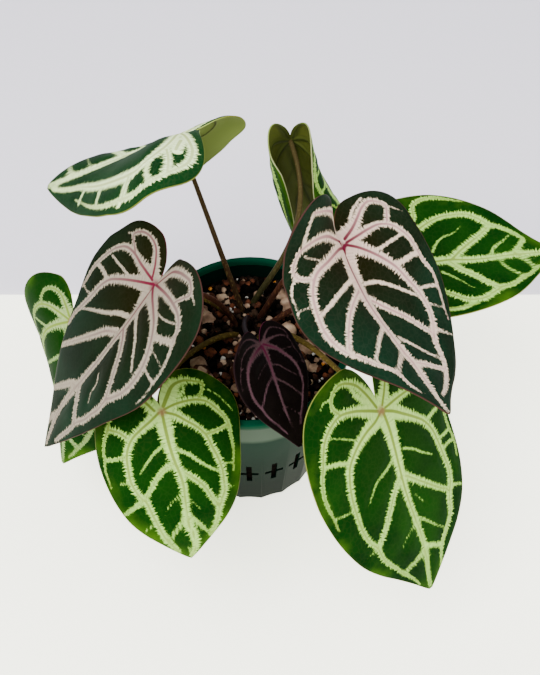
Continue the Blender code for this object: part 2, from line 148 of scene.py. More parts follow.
def half_veins(side, spread=1.0):
    """The usual veins of one half of a blade, for the halves and lobes that the photograph hides."""
    paths = [
        vein((6, 5, 4.5, 4, 4, 3, 2), (0, 1), (3, 8), (8, 17), (14, 24), (22, 29), (32, 31), (44, 30),
             (54, 26), (62, 22), (72, 18), (82, 12), (92, 5)),
        vein((3, 2), (20, 2), (26, 10), (32, 18), (38, 27)),
        vein((5, 3.5), (33, 1), (40, 8), (48, 15), (56, 24)),
        vein((2, 1.5), (56, 1), (62, 7), (68, 13), (72, 17)),
        vein((4, 3), (72, 1), (77, 5), (81, 11)),
    ] + base_veins(1)
    return [vein(widths, *[(a, side * spread * b) for a, b in points]) for widths, points in paths]


def base_veins(side):
    """The usual veins of one lobe, and those between the inner and the outer long vein."""
    paths = [
        vein((5, 4.5, 4, 3, 2, 1.5), (-1, 2), (-4, 10), (-6, 18), (-5, 26), (0, 33), (8, 38), (18, 40),
             (30, 40), (42, 37)),
        vein((2.5, 2), (9, 19), (8, 27), (7, 36)),
        vein((3, 2.5), (19, 27), (20, 33), (19, 39)),
        vein((2, 1.5), (38, 31), (39, 35), (40, 38)),
        vein((2.5, 1), (55, 26), (58, 31)),
        vein((6, 4, 3, 2.5), (-3, 2), (-10, 6), (-16, 11), (-18, 18), (-15, 24), (-9, 26), (-5, 25)),
    ]
    return [vein(widths, *[(a, side * b) for a, b in points]) for widths, points in paths]


MIDRIB = vein((8, 7.5, 6.5, 5, 4, 3), (0, 0), (20, 0), (40, 0), (60, 0), (80, 0), (98, 0))

VEINS = {
    "right": [
        vein((8, 14, 15, 12, 10, 7, 7.5, 6.5, 6, 4, 3), (0, 2), (10, -4), (20, -6), (30, -7), (40, -5.5),
             (50, -3), (60, -1), (70, 1), (80, 1), (90, 0), (98, 0)),
        vein((7, 7, 6, 5, 4, 4, 3.5, 3, 2.5, 1.5), (1, 0), (2, -12), (6, -25), (11, -37), (18, -42),
             (30, -44), (42, -43), (52, -38), (58, -32), (64, -26), (72, -17), (80, -14), (86, -9)),
        vein((3, 2.5), (19, -13), (21, -20), (25, -30), (30, -42)),
        vein((5, 4, 3.5), (25, -10), (29, -18), (35, -26), (43, -32), (51, -36)),
        vein((3, 2.5), (47, -7), (51, -14), (56, -20), (62, -26)),
        vein((3.5, 2.5), (62, -3), (66, -10), (69, -14), (72, -17)),
        vein((5, 4, 3), (-2, 0), (-3, -15), (-5, -30), (-4, -42), (-2, -48), (3, -49), (8, -47), (12, -39)),
        vein((1.8, 1.2), (8, -47), (10, -50), (15, -53), (22, -53), (27, -54)),
        vein((1.5, 1.5), (23, -53), (24, -49), (24, -45)),
        vein((1, 1), (0, -44), (3, -36), (5, -30)),
        vein((9, 8, 5, 3, 2.5), (-3, 0), (-9, -8), (-14, -20), (-15, -35), (-15, -51)),
        vein((2.5, 2.5), (-15, -51), (-9, -49), (-3, -46)),
        vein((7, 6.5, 6, 5, 4.5, 5, 4, 3, 2), (0, 3), (3, 8), (8, 14), (14, 20), (20, 25), (28, 29),
             (36, 33), (44, 35), (52, 34), (58, 30), (63, 28), (70, 27), (76, 24), (81, 19), (86, 12),
             (89, 6)),
        vein((2.5, 2), (22, 2), (23, 8), (28, 17), (33, 24), (37, 30)),
        vein((4.5, 3.5), (31, 0), (37, 6), (42, 12), (47, 18), (52, 23), (57, 29)),
        vein((2.2, 1.6), (54, 3), (60, 10), (65, 16), (70, 24), (72, 27)),
        vein((4, 3), (69, 3), (71, 10), (74, 17), (76, 23)),
        vein((6, 5, 4, 3.5, 3, 2.5, 2, 1.2), (-1, 4), (-2, 12), (-3, 20), (-3, 28), (0, 34), (5, 38),
             (10, 41), (16, 43), (22, 45), (30, 49), (38, 49), (46, 48), (54, 47)),
        vein((2.2, 2), (9, 17), (8, 25), (7, 32), (6, 38)),
        vein((3, 3), (19, 24), (19, 32), (18, 40), (18, 43)),
        vein((2, 2), (35, 33), (35, 40), (36, 46), (37, 49)),
        vein((1.6, 1.2), (42, 35), (45, 41), (48, 47)),
        vein((2.5, 1.5), (57, 30), (57, 35), (59, 40), (61, 44)),
        vein((8, 5, 3.5, 3), (-3, 4), (-7, 12), (-11, 18), (-15, 24), (-17, 30), (-15, 36), (-12, 39),
             (-7, 36), (-3, 33)),
        vein((1.5, 1), (-12, 39), (-9, 42), (-5, 45)),
        vein((2, 1.5), (-12, 13), (-17, 20), (-20, 27)),
    ],
    "left": [
        vein((7, 9, 7, 5.5, 5.5, 5, 5, 4.5, 4, 4, 3), (0, 0), (10, 3.5), (20, 5), (30, 4), (40, 3), (50, 1),
             (60, -1), (70, -3), (80, -4), (90, -2), (97, 0)),
        vein((6, 5, 4.5, 4, 3.5, 3), (0, -1), (6, -12), (11, -20), (15, -25), (20, -28), (30, -31),
             (38, -34), (45, -37), (52, -38)),
        vein((5, 4, 3, 2.5, 2), (-1, -3), (-2, -14), (-3, -22), (-2, -28), (2, -33), (7, -36), (12, -38),
             (18, -40), (25, -41), (31, -42)),
        vein((1.5, 1.5), (6, -32), (6, -22), (6, -13)),
        vein((2.5, 2.5), (15, -38), (15, -31), (16, -26)),
        vein((1.5, 1.5), (30, -42), (30, -36), (28, -31)),
        vein((4, 2.5, 2), (-2, -4), (-8, -8), (-12, -12), (-13, -19), (-11, -24), (-8, -27), (-5, -23),
             (-3, -20)),
        vein((1.5, 1), (-9, -26), (-7, -31)),
        vein((2.6, 1.5), (18, 0), (20, -5), (25, -12), (30, -20), (35, -28), (39, -34)),
        vein((4.5, 3.5, 3), (27, 0), (31, -6), (37, -11), (43, -16), (50, -22), (57, -28), (64, -34)),
        vein((4.5, 3), (59, 0), (64, -7), (70, -12), (76, -17), (82, -21)),
        vein((4, 3), (82, -4), (87, -8), (91, -8)),
        vein((8, 6, 4.5, 4.5, 3.5, 3.5, 3.5, 3, 2.5), (1, 2), (3, 12), (5, 20), (8, 27), (13, 32), (20, 35),
             (28, 35), (35, 33), (41, 29), (45, 26), (50, 25), (56, 22), (62, 19), (67, 15), (73, 13),
             (80, 10), (87, 7)),
        vein((2.5, 1.5), (13, 8), (15, 14), (18, 21), (22, 26), (27, 31)),
        vein((5, 4, 3), (22, 6), (24, 12), (28, 17), (34, 21), (40, 24), (46, 26)),
        vein((1.5, 1.2), (43, 11), (46, 14), (51, 14), (55, 16)),
        vein((5, 3.5), (59, 1), (62, 6), (65, 9), (69, 14)),
        vein((5, 4, 3.5, 2), (-1, 2), (-2, 10), (-3, 20), (-3, 30), (-2, 36), (1, 41), (6, 43)),
        vein((3, 3), (6, 43), (9, 36), (11, 30)),
        vein((2, 1.5, 1), (6, 43), (10, 45), (16, 46), (22, 45), (28, 44), (34, 42)),
        vein((1, 1), (14, 36), (15, 42), (16, 45)),
        vein((1.6, 1.6), (21, 36), (22, 41), (22, 45)),
        vein((1, 1.2), (4, 25), (3, 32), (1, 38)),
        vein((6, 5, 4, 3, 2), (-2, 3), (-6, 7), (-10, 12), (-12, 19), (-13, 27), (-13, 32), (-10, 36),
             (-7, 33), (-4, 30)),
        vein((1.5, 1), (-11, 35), (-9, 41)),
        vein((3, 2), (-5, 5), (-11, 13), (-11, 18)),
    ],
    "front_right": [
        vein((8, 8, 7.5, 6.5, 5, 4, 4, 3.5, 3.5, 3, 2.5), (0, 1), (10, 1), (20, 0), (30, -1), (40, -1.5),
             (50, -1), (60, 0), (70, 1), (80, 1), (90, 0), (98, 0)),
        vein((6, 6, 5.5, 4.5, 3.5, 3, 3, 3, 2.5, 2, 1.5), (0, 0), (2, -6), (3, -13), (5, -19), (8, -24),
             (12, -28), (18, -30), (25, -31), (35, -31), (45, -30), (52, -28), (57, -25), (65, -23),
             (75, -17), (80, -14), (85, -10), (92, -6)),
        vein((7, 5, 4, 3.5, 2.5, 2, 1), (-1, -2), (-5, -9), (-9, -17), (-11, -25), (-9, -31), (-5, -36),
             (0, -39), (5, -41), (10, -43), (18, -44), (25, -43), (30, -42), (38, -41)),
        vein((2.5, 2.5), (5, -40), (7, -34), (10, -28)),
        vein((1.5, 1.5), (31, -41), (32, -36), (32, -31)),
        vein((1.2, 1), (-5, -33), (-2, -28), (2, -22), (4, -19)),
        vein((2, 1), (58, -25), (59, -31)),
        vein((8, 6, 5, 3, 2.5, 3), (-3, -2), (-12, -6), (-18, -10), (-21, -14), (-23, -19), (-21, -25),
             (-17, -27), (-11, -24)),
        vein((3.4, 3), (-9, -8), (-14, -12), (-21, -14)),
        vein((1.5, 1), (-20, -26), (-20, -31), (-18, -33)),
        vein((2.2, 1.5, 1), (23, -4), (25, -10), (27, -17), (31, -21), (34, -24)),
        vein((4.5, 3.5), (33, -2), (37, -8), (43, -13), (50, -18), (57, -24)),
        vein((2, 1), (59, -1), (62, -7), (64, -10), (67, -12)),
        vein((3.5, 2.5), (76, 0), (78, -6), (79, -11), (80, -14)),
        vein((7, 6, 5, 5, 4.5, 4, 5, 3.5, 3, 2), (1, 2), (4, 7), (8, 12), (13, 18), (19, 24), (25, 27),
             (32, 28), (40, 28.5), (48, 29), (55, 27), (60, 24), (68, 22), (73, 18), (78, 13), (82, 11),
             (90, 9)),
        vein((1.6, 1.2), (22, 5), (26, 11), (30, 15), (35, 21)),
        vein((4.2, 3), (34, 1), (40, 7), (46, 13), (52, 19), (57, 25)),
        vein((2, 1.2), (57, 1), (62, 6), (67, 10), (71, 14), (74, 18)),
        vein((3.2, 2.8), (74, 2), (77, 7), (80, 11)),
        vein((1, .8), (45, 3), (52, 7)),
        vein((5, 4, 3, 2.5, 1.5), (0, 3), (0, 12), (1, 22), (3, 30), (7, 36), (13, 40), (20, 42), (30, 40),
             (38, 40), (46, 38)),
        vein((2.5, 2.5), (19, 25), (19, 32), (19, 41)),
        vein((2, 2), (31, 29), (32, 35), (32, 40)),
        vein((2, 2), (37, 29), (37, 35), (38, 40)),
        vein((2.5, 1.5), (56, 27), (59, 33), (61, 36)),
        vein((6, 4, 3, 2.5), (-2, 2), (-8, 7), (-14, 11), (-20, 16), (-22, 22), (-17, 27), (-10, 27),
             (-3, 25), (1, 22)),
    ],
    "front_left": [
        vein((7, 9, 8, 6.5, 6, 5, 5, 7, 6, 5.5, 4), (0, 0), (10, -1), (20, -1.5), (30, -1), (40, .5),
             (50, .5), (60, -.5), (70, -.5), (80, 2), (90, 3), (98, 0)),
        vein((6, 6, 6, 5.5, 5, 5, 4.5, 5, 3), (0, -2), (3, -8), (6, -15), (10, -22), (15, -26), (20, -28),
             (28, -29), (38, -29), (46, -26), (50, -23), (57, -21), (65, -19), (72, -17), (78, -15),
             (85, -11), (92, -7)),
        vein((4, 5, 5), (-2, -36), (3, -29), (8, -25)),
        vein((4, 3, 2.5, 2, 1), (-2, -36), (3, -40), (10, -43), (18, -44), (26, -45), (34, -44), (40, -43)),
        vein((3.5, 3.5), (19, -43), (20, -36), (20, -29)),
        vein((2.5, 2), (37, -36), (38, -29)),
        vein((3, 4), (59, -37), (54, -30), (50, -24)),
        vein((2, 2), (72, -27), (66, -20)),
        vein((6, 4, 3), (-2, -4), (-9, -8), (-14, -14), (-15, -22), (-12, -29), (-6, -33), (-1, -36)),
        vein((2.5, 1.5), (19, -5), (22, -11), (27, -17), (33, -23)),
        vein((4.5, 3.5), (31, -2), (33, -8), (38, -14), (43, -18), (49, -23)),
        vein((2.5, 1), (51, -3), (55, -9), (59, -12), (63, -13)),
        vein((4, 3), (66, -2), (71, -6), (76, -10), (80, -13)),
        vein((1.5, 1), (83, 2), (88, -2), (92, -4)),
        vein((6, 5, 4.5, 5, 5, 6, 5, 4), (1, 2), (4, 7), (9, 12), (14, 17), (20, 21), (28, 23), (36, 25),
             (44, 26), (50, 25.5), (56, 25), (62, 22), (66, 20), (72, 18.5), (78, 16), (84, 13)),
        vein((2.8, 2), (24, 3), (28, 8), (34, 13), (39, 18), (44, 24)),
        vein((4.5, 4), (38, 3), (43, 8), (50, 13), (57, 16), (64, 19)),
        vein((1.5, 1), (53, 2), (58, 5), (63, 8)),
        vein((3.5, 2.5), (67, 2), (74, 7), (79, 10), (83, 13)),
        vein((5, 5, 5, 4.5, 3.5, 3, 2, 1.5), (-1, 2), (-2, 8), (-2, 15), (-1, 22), (2, 28), (7, 32),
             (12, 35), (18, 37), (26, 36.5), (34, 36), (42, 34), (47, 33)),
        vein((3.5, 3), (20, 21), (20, 28), (19, 36)),
        vein((2, 1.5), (40, 26), (41, 31), (42, 34)),
        vein((1.8, 1), (54, 25), (56, 31)),
        vein((12, 13, 7, 4, 3, 2.5), (-3, 2), (-8, 6), (-13, 11), (-14, 18), (-12, 24), (-9, 29), (-5, 27),
             (-2, 24)),
        vein((3.4, 2), (-6, 8), (-8, 16), (-12, 17)),
        vein((1, .8, .8), (-5, 31), (0, 36), (5, 39), (11, 42)),
    ],
    "centre": [
        vein((6, 5, 4.5, 4, 3.5, 3, 2), (0, 1), (10, 2), (20, 1.5), (40, 0), (60, -1), (80, 0), (96, 0)),
        vein((8, 8, 6, 4, 4, 3, 3, 2), (-1, 0), (0, -8), (3, -18), (7, -26), (13, -31), (20, -33),
             (30, -33), (40, -31), (50, -26), (57, -23), (65, -19), (72, -14), (82, -8)),
        vein((1.8, 1), (15, 0), (17, -8), (20, -15), (24, -20)),
        vein((4, 3), (28, 0), (33, -10), (40, -17), (47, -22), (52, -25)),
        vein((2.2, 1.6), (58, -1), (63, -8), (70, -12), (74, -13)),
        vein((3, 2.5, 2, 1.5), (-3, -2), (-6, -15), (-5, -27), (0, -35), (8, -39), (18, -42), (28, -42)),
        vein((1.6, 1.6), (9, -39), (8, -30), (7, -26)),
        vein((1.6, 1.6), (27, -41), (26, -36), (25, -33)),
        vein((3, 2, 1.6), (-4, -2), (-11, -12), (-14, -22), (-12, -32), (-5, -38), (0, -36)),
        vein((5, 5, 4.5, 4, 3, 3, 2), (-2, 3), (2, 9), (7, 16), (14, 22), (22, 28), (30, 31), (38, 31),
             (46, 29), (54, 24), (63, 19), (70, 14), (80, 8)),
        vein((2.6, 2), (18, 2), (21, 10), (27, 16), (34, 23), (40, 30)),
        vein((3.2, 2.6), (30, 1), (36, 7), (42, 13), (49, 18), (56, 22)),
        vein((2, 1.5), (58, 0), (63, 6), (68, 10), (71, 13)),
        vein((3, 2.5, 2, 1.2), (-3, 4), (-4, 14), (-3, 24), (0, 31), (8, 36), (14, 37), (22, 40), (30, 41)),
        vein((1.6, 1.6), (10, 20), (11, 30), (12, 36)),
        vein((2, 2), (22, 28), (26, 34), (29, 40)),
        vein((1.6, 1), (40, 31), (43, 37)),
        vein((2.6, 1.6), (-4, 4), (-10, 10), (-13, 17), (-10, 26), (-4, 33), (2, 35)),
    ],
    "far_right": [
        vein((8, 9, 8, 7, 6, 5, 5.5, 5, 3.5), (0, 0), (12, 0), (25, -1), (33, 0), (45, -1), (60, 0),
             (72, 1), (85, 1), (98, 0)),
        vein((6, 5, 4.5, 4.5, 4.5, 4.5, 3.5, 2.5, 2), (0, -2), (3, -14), (8, -22), (16, -25), (28, -29),
             (38, -34), (46, -33), (53, -28), (57, -25), (64, -23), (70, -19), (77, -15), (82, -11),
             (90, -7)),
        vein((3, 3), (13, -40), (28, -41), (36, -39), (41, -35)),
        vein((2.2, 1), (27, -11), (33, -16), (37, -20), (43, -26)),
        vein((6, 4.5), (33, -2), (38, -9), (44, -14), (50, -20), (56, -25)),
        vein((2.6, 2.4), (62, -2), (64, -8), (68, -13), (73, -17)),
        vein((4, 3), (74, 0), (78, -5), (81, -11)),
        vein((6, 5.5, 5.5, 4.5, 4.5, 5, 3.5, 3), (1, 2), (6, 12), (12, 20), (19, 26), (25, 30), (32, 33),
             (40, 34), (50, 33.5), (58, 29), (63, 25), (70, 22), (76, 18), (81, 13)),
        vein((2.2, 1), (24, 7), (27, 13), (32, 18), (38, 20), (44, 25)),
        vein((6, 4.5), (35, 1), (41, 7), (47, 12), (54, 17), (61, 23)),
        vein((2.5, 1.6), (58, 2), (62, 8), (68, 12), (73, 16)),
        vein((4, 3.5), (72, 2), (77, 7), (81, 12)),
        vein((4, 4, 3.5, 3, 2, 1), (10, 24), (15, 34), (15, 42), (20, 46), (28, 47.5), (38, 46), (46, 44),
             (54, 43)),
    ] + base_veins(1)[-1:] + base_veins(-1)[:2] + base_veins(-1)[-1:],
    "back_left": [
        MIDRIB,
        vein((6, 7, 7.5, 7.5, 7.5, 7, 6.5, 6, 5.5, 4.5, 3.5, 3, 3), (-2, 3), (-4, 12), (-4, 22), (-3, 30),
             (0, 38), (5, 44), (11, 46), (17, 42), (24, 36), (34, 28), (45, 20), (58, 12.5), (70, 9),
             (80, 6.5), (91, 3)),
        vein((7, 6.5, 5.5, 5, 4, 4, 3.5, 3, 2.5, 2, 1.5, 1.5), (-5, 14), (-9, 22), (-12, 30), (-14, 40),
             (-11, 51), (-4, 58), (5, 62), (13, 60), (20, 54), (30, 46), (37, 40), (45, 33), (55, 24),
             (62, 19)),
        vein((9, 7), (-8, 30), (-6, 41)),
        vein((5, 5), (-1, 41), (-2, 50), (-1, 59)),
        vein((3, 2.5), (6, 47), (7, 54), (6, 61)),
        vein((4.5, 4.5), (16, 45), (18, 51), (20, 55)),
        vein((3.5, 2.5), (36, 29), (37, 34), (38, 39)),
        vein((3, 2.5), (54, 17), (56, 21), (57, 24)),
    ] + half_veins(-1),
    "far_left": [MIDRIB] + half_veins(1) + half_veins(-1),
    "back": [MIDRIB] + half_veins(1, .78) + half_veins(-1, .85),
}

# Fineness of the meshes: rings and spokes of a blade of the usual length, and the veins' steps, millimetres
USUAL_LENGTH = 110
BLADE_RINGS = 54
BLADE_SPOKES = 288
VEIN_STEP = 0.7
# A stalk: its points, its thickness at the foot, what it loses upwards and how much it swells, as shares of
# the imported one, how far below its blade and how widely, and how far it goes into the blade, in millimetres
STALK_POINTS = 60
FOOT_THICKNESS = 1.12
THINNING = 0.4
SWELLING = 0.12
SWELLING_PLACE = 7
SWELLING_WIDTH = 5
STALK_SINK = 0.3
# How many of a blade's points are compared with its veins at once
BATCH = 2000
# The least half width of a pale band, and the bounds of the half width that its teeth follow, in millimetres
LEAST_HALF = 0.6
GIRTHS = (0.6, 2.5)
# A main vein's own line: the band width it needs, its share of the band, and its half width's bounds
MAIN_WIDTH = 3.5
LINE_SHARE = 0.12
LINE_HALVES = (0.12, 1.1)
# The half width of a line that isn't there, too small for any point to be near it
NO_LINE = -99.0
# What the run along the veins skips from one vein to the next, and from a vein's right to its left side
VEIN_GAP = 37
OTHER_SIDE = 1000
# How much broader the pale bands are at the stalk, in millimetres, and the share of length that it reaches
POOL = 2.2
POOL_REACH = 0.11
# How high the tissue swells between the veins, and how far from a band and from the edge it does so in full
QUILT = 0.45
QUILT_FAR = 5
QUILT_EDGE = 4
# A blade's thickness at a main vein and the share of it left elsewhere, how far the rib spreads and how far
# from the edge it is full, in millimetres, and the share of the length at which it would end
RIB_THICK = 1.5
THIN_PART = 0.5
RIB_SPREAD = 1.6
RIB_EDGE = 3
RIB_END = 1.2
# The moulded edges of the pot: their width in millimetres and the least angle that counts as an edge
POT_EDGE = 0.4
POT_EDGE_ANGLE = 32
# Up to this height, in millimetres, the pot's inner wall takes the near-black painted shade
INNER_TOP = 126.0
# Loose bits of mix: how many are drawn, below which size they are coarser meshes, and how they sit in the mix
GRAINS = 1500
SMALL_GRAIN = 1.6
GRAIN_SEAT = 0.35
GRAIN_FLATNESS = 0.8
GRAIN_ROUGHNESS = 0.5
# The kinds of loose bits, with the bounds of their sizes in millimetres, and how often each is drawn
GRAIN_KINDS = (("fine_bits", .7, 2.0), ("pumice", .8, 2.0), ("bark", 1.0, 2.6), ("perlite", .8, 1.8))
BEAD_SIZE = 1.5
GRAIN_SHARES = (62, 14, 14, 5, 1.2)
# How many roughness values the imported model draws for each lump, before its turn and its seat
CHUNK_DRAWS = 42
# Where the near floor ends behind the pot, how far the other lies below it, and the lamps' target, in metres
FLOOR_END = 0.123
FLOOR_DROP = 0.004
LAMP_TARGET = (0, 0, 0.12)

# The sockets of a Mix node that mixes colours, by index, because those for numbers have the same names
FACTOR = 0
FIRST = 6
SECOND = 7
MIXED = 2


def linear(colour):
    """An sRGB hex value as linear red, green, blue and alpha."""
    parts = [int(colour[i:i + 2], 16) / 255 for i in (1, 3, 5)]
    return [c / 12.92 if c <= 0.04045 else ((c + 0.055) / 1.055) ** 2.4 for c in parts] + [1.0]


def add_node(tree, kind, inputs=None, stops=None, **settings):
    """Add a node, set its properties and sockets, and link the sockets that are given another's output."""
    made = tree.nodes.new("ShaderNode" + kind)
    for name, value in settings.items():
        setattr(made, name, value)
    for name, value in (inputs or {}).items():
        if isinstance(value, bpy.types.NodeSocket):
            tree.links.new(value, made.inputs[name])
        else:
            made.inputs[name].default_value = value
    if stops:
        while len(made.color_ramp.elements) < len(stops):
            made.color_ramp.elements.new(1)
        for element, (place, colour) in zip(made.color_ramp.elements, stops):
            element.position = place
            element.color = linear(colour)
    return made


def new_material(name, **shader_values):
    """A material with its Principled shader's constants set; returns it, its tree and that shader."""
    made = bpy.data.materials.new(name)
    made.use_nodes = True
    shader = made.node_tree.nodes["Principled BSDF"]
    for key, value in shader_values.items():
        shader.inputs[key.replace("_", " ")].default_value = value
    return made, made.node_tree, shader


def blade_finish(name, lamina, deep, near, pale, fringe, rib, margin, under_lamina, under_vein, yellow=None,
                 rib_far=None, knot="#7a5040", teeth=3.0, speckle=1.6, line_fade=0.6):
    """The upper and the under face of a living blade.

    The upper cuticle is velvety: its tiny domed cells scatter the light, so the eye gets a deep, matte colour
    with hardly any shine, paler along the veins. The under face is smoother and plain, with its veins raised.
    """
    top, tree, shader = new_material(name + "_upper_face", Roughness=0.5, IOR=1.45, Specular_IOR_Level=0.012)
    read = {key: add_node(tree, "Attribute", attribute_name=key).outputs["Fac"]
            for key in ("pale", "run", "rib", "girth", "edge", "reach")}
    place = add_node(tree, "TexCoord").outputs["Object"]
    # Teeth along the pale bands, about 1 mm apart, and longer on a broader band
    comb = add_node(tree, "TexNoise", {"W": read["run"], "Scale": 1.0, "Detail": 3.0, "Roughness": 0.7},
                    noise_dimensions="1D").outputs["Fac"]
    cells = add_node(tree, "TexNoise", {"Vector": place, "Scale": 900.0, "Detail": 2.0}).outputs["Fac"]
    out = add_node(tree, "Math", {0: comb, 1: -0.5}, operation="ADD").outputs[0]
    out = add_node(tree, "Math", {0: out, 1: read["girth"]}, operation="MULTIPLY").outputs[0]
    out = add_node(tree, "Math", {0: out, 1: teeth, 2: read["pale"]}, operation="MULTIPLY_ADD").outputs[0]
    fine = add_node(tree, "Math", {0: cells, 1: -0.5}, operation="ADD").outputs[0]
    out = add_node(tree, "Math", {0: fine, 1: speckle, 2: out}, operation="MULTIPLY_ADD").outputs[0]
    # The green tissue lies in soft patches, and its finest veinlets part cells about 3 mm across
    patches = add_node(tree, "TexNoise", {"Vector": place, "Scale": 38.0, "Detail": 3.0}).outputs["Fac"]
    cracks = add_node(tree, "TexVoronoi", {"Vector": place, "Scale": 330.0}, feature="DISTANCE_TO_EDGE")
    cracks = cracks.outputs["Distance"]
    # Each share goes from its least to its most while what it reads goes from the first value to the second
    shares = {
        "band": (out, 0.05, 0.45, 0, 1),
        "heart": (out, 0.4, 1.7, 0, 1),
        "close": (read["reach"], 0.6, 0.15, 0, 1),
        "net": (cracks, 0.1, 0.0, 0, 0.008),
        "streaks": (comb, 0.62, 0.35, 0, 0.3),
        "core": (read["rib"], 0.75, 0.15, 0, 1),
        "fade": (read["reach"], 0.85, 0.0, line_fade, 1),
        "outer": (read["reach"], 0.06, 0.4, 0, 1),
        "line": (read["edge"], 0.5, 0.15, 0, 1),
        "meeting": (read["reach"], 0.3, 0.2, 0, 1),
        "knot": (read["reach"], 0.035, 0.015, 0, 0.7),
    }
    # A vein's own thin line fades away from the stalk, and the yellow of age comes in blotches by the edge
    products = [("core", "fade")]
    if yellow:
        shares["old"] = (read["edge"], 9.0, 0.5, 0, 0.5)
        shares["blotch"] = (patches, 0.48, 0.68, 0, 1)
        products.append(("old", "blotch"))
    for key, (value, first, second, least, most) in shares.items():
        ease = "SMOOTHSTEP" if key in ("band", "core") else "LINEAR"
        shares[key] = add_node(tree, "MapRange", {"Value": value, "From Min": first, "From Max": second,
                                                  "To Min": least, "To Max": most},
                               interpolation_type=ease).outputs[0]
    for key, by in products:
        shares[key] = add_node(tree, "Math", {0: shares[key], 1: shares[by]}, operation="MULTIPLY").outputs[0]
    # A band is paler in its heart, a vein line changes away from the stalk, and the rim is as dark as that
    # line where the two lobes meet at the stalk
    turning = {"heart": (fringe, pale), "outer": (rib, rib_far or rib), "meeting": (margin, rib)}
    for key, (first, second) in turning.items():
        turning[key] = add_node(tree, "Mix", {FACTOR: shares[key], FIRST: linear(first),
                                              SECOND: linear(second)}, data_type="RGBA").outputs[MIXED]
    tissue = add_node(tree, "ValToRGB", {"Fac": patches}, stops=[(0.35, deep), (0.65, lamina)])
    colour = tissue.outputs["Color"]
    # From the tissue up, each layer covers what is under it by its share. Through a band the tissue shows in
    # streaks as fine as the teeth
    layers = [("close", linear(near)), ("net", linear(pale)), ("old", linear(yellow or pale)), ("band", None),
              ("core", turning["outer"]), ("line", turning["meeting"]), ("knot", linear(knot))]
    for key, layer in layers:
        if key == "band":
            layer = add_node(tree, "Mix", {FACTOR: shares["streaks"], FIRST: turning["heart"],
                                           SECOND: colour}, data_type="RGBA").outputs[MIXED]
        if key in shares:
            colour = add_node(tree, "Mix", {FACTOR: shares[key], FIRST: colour, SECOND: layer},
                              data_type="RGBA").outputs[MIXED]
    tree.links.new(colour, shader.inputs["Base Color"])
    bump = add_node(tree, "Bump", {"Height": cells, "Distance": 0.0002, "Strength": 0.35})
    tree.links.new(bump.outputs["Normal"], shader.inputs["Normal"])

    under, tree, shader = new_material(name + "_under_face", Roughness=0.55, IOR=1.45,
                                       Specular_IOR_Level=0.08)
    shape, line = (add_node(tree, "Attribute", attribute_name=key).outputs["Fac"] for key in ("pale", "rib"))
    place = add_node(tree, "TexCoord").outputs["Object"]
    patches = add_node(tree, "TexNoise", {"Vector": place, "Scale": 60.0, "Detail": 3.0}).outputs["Fac"]
    web = add_node(tree, "MapRange", {"Value": shape, "From Min": 0.0, "From Max": 2.0}).outputs[0]
    web = add_node(tree, "Math", {0: web, 1: patches}, operation="MULTIPLY").outputs[0]
    line = add_node(tree, "MapRange", {"Value": line, "From Min": 0.8, "From Max": 0.2, "To Max": 0.85})
    web = add_node(tree, "Math", {0: web, 1: line.outputs[0]}, operation="MAXIMUM").outputs[0]
    colour = add_node(tree, "Mix", {FACTOR: web, FIRST: linear(under_lamina), SECOND: linear(under_vein)},
                      data_type="RGBA").outputs[MIXED]
    tree.links.new(colour, shader.inputs["Base Color"])
    return top, under


def smooth(x, xs, ys):
    """A smooth curve through the points xs, ys, read at x."""
    xs, ys = np.asarray(xs, float), np.asarray(ys, float)
    step = np.diff(xs)
    rise = np.diff(ys) / step
    inner = (rise[:-1] * step[1:] + rise[1:] * step[:-1]) / (step[:-1] + step[1:])
    slope = np.concatenate([rise[:1], inner, rise[-1:]])
    i = np.clip(np.searchsorted(xs, x) - 1, 0, len(step) - 1)
    t = (x - xs[i]) / step[i]
    start = ys[i] * (1 + 2 * t) * (1 - t) ** 2 + slope[i] * step[i] * t * (1 - t) ** 2
    end = ys[i + 1] * t * t * (3 - 2 * t) + slope[i + 1] * step[i] * t * t * (t - 1)
    return start + end


def arc(run, first, turn):
    """How far along and up a line goes that starts at the angle first and bends down by turn a unit."""
    turn = np.where(np.abs(turn) < 1e-6, 1e-6, turn)
    along = (np.sin(first) - np.sin(first - turn * run)) / turn
    up = (np.cos(first - turn * run) - np.cos(first)) / turn
    return along, up


def flat_place(numbers, out, angle):
    """A point's place along and across the flat leaf, and the margin there, in fractions of its length."""
    left = angle >= 0
    turn = np.radians(np.abs(angle))
    fuller = np.where(left, smooth(np.abs(angle), FULLNESS_ANGLES, (0, *numbers["fuller_left"], 0)),
                      smooth(np.abs(angle), FULLNESS_ANGLES, (0, *numbers["fuller_right"], 0)))
    margin = smooth(np.abs(angle), HEART_ANGLES, HEART_RADII) * (1 + fuller)
    along = out * margin * np.cos(turn)
    along = np.where(along < 0, along * numbers["lobe"], along)
    return along, out * margin * np.sin(turn) * np.where(left, *numbers["wide"]), margin


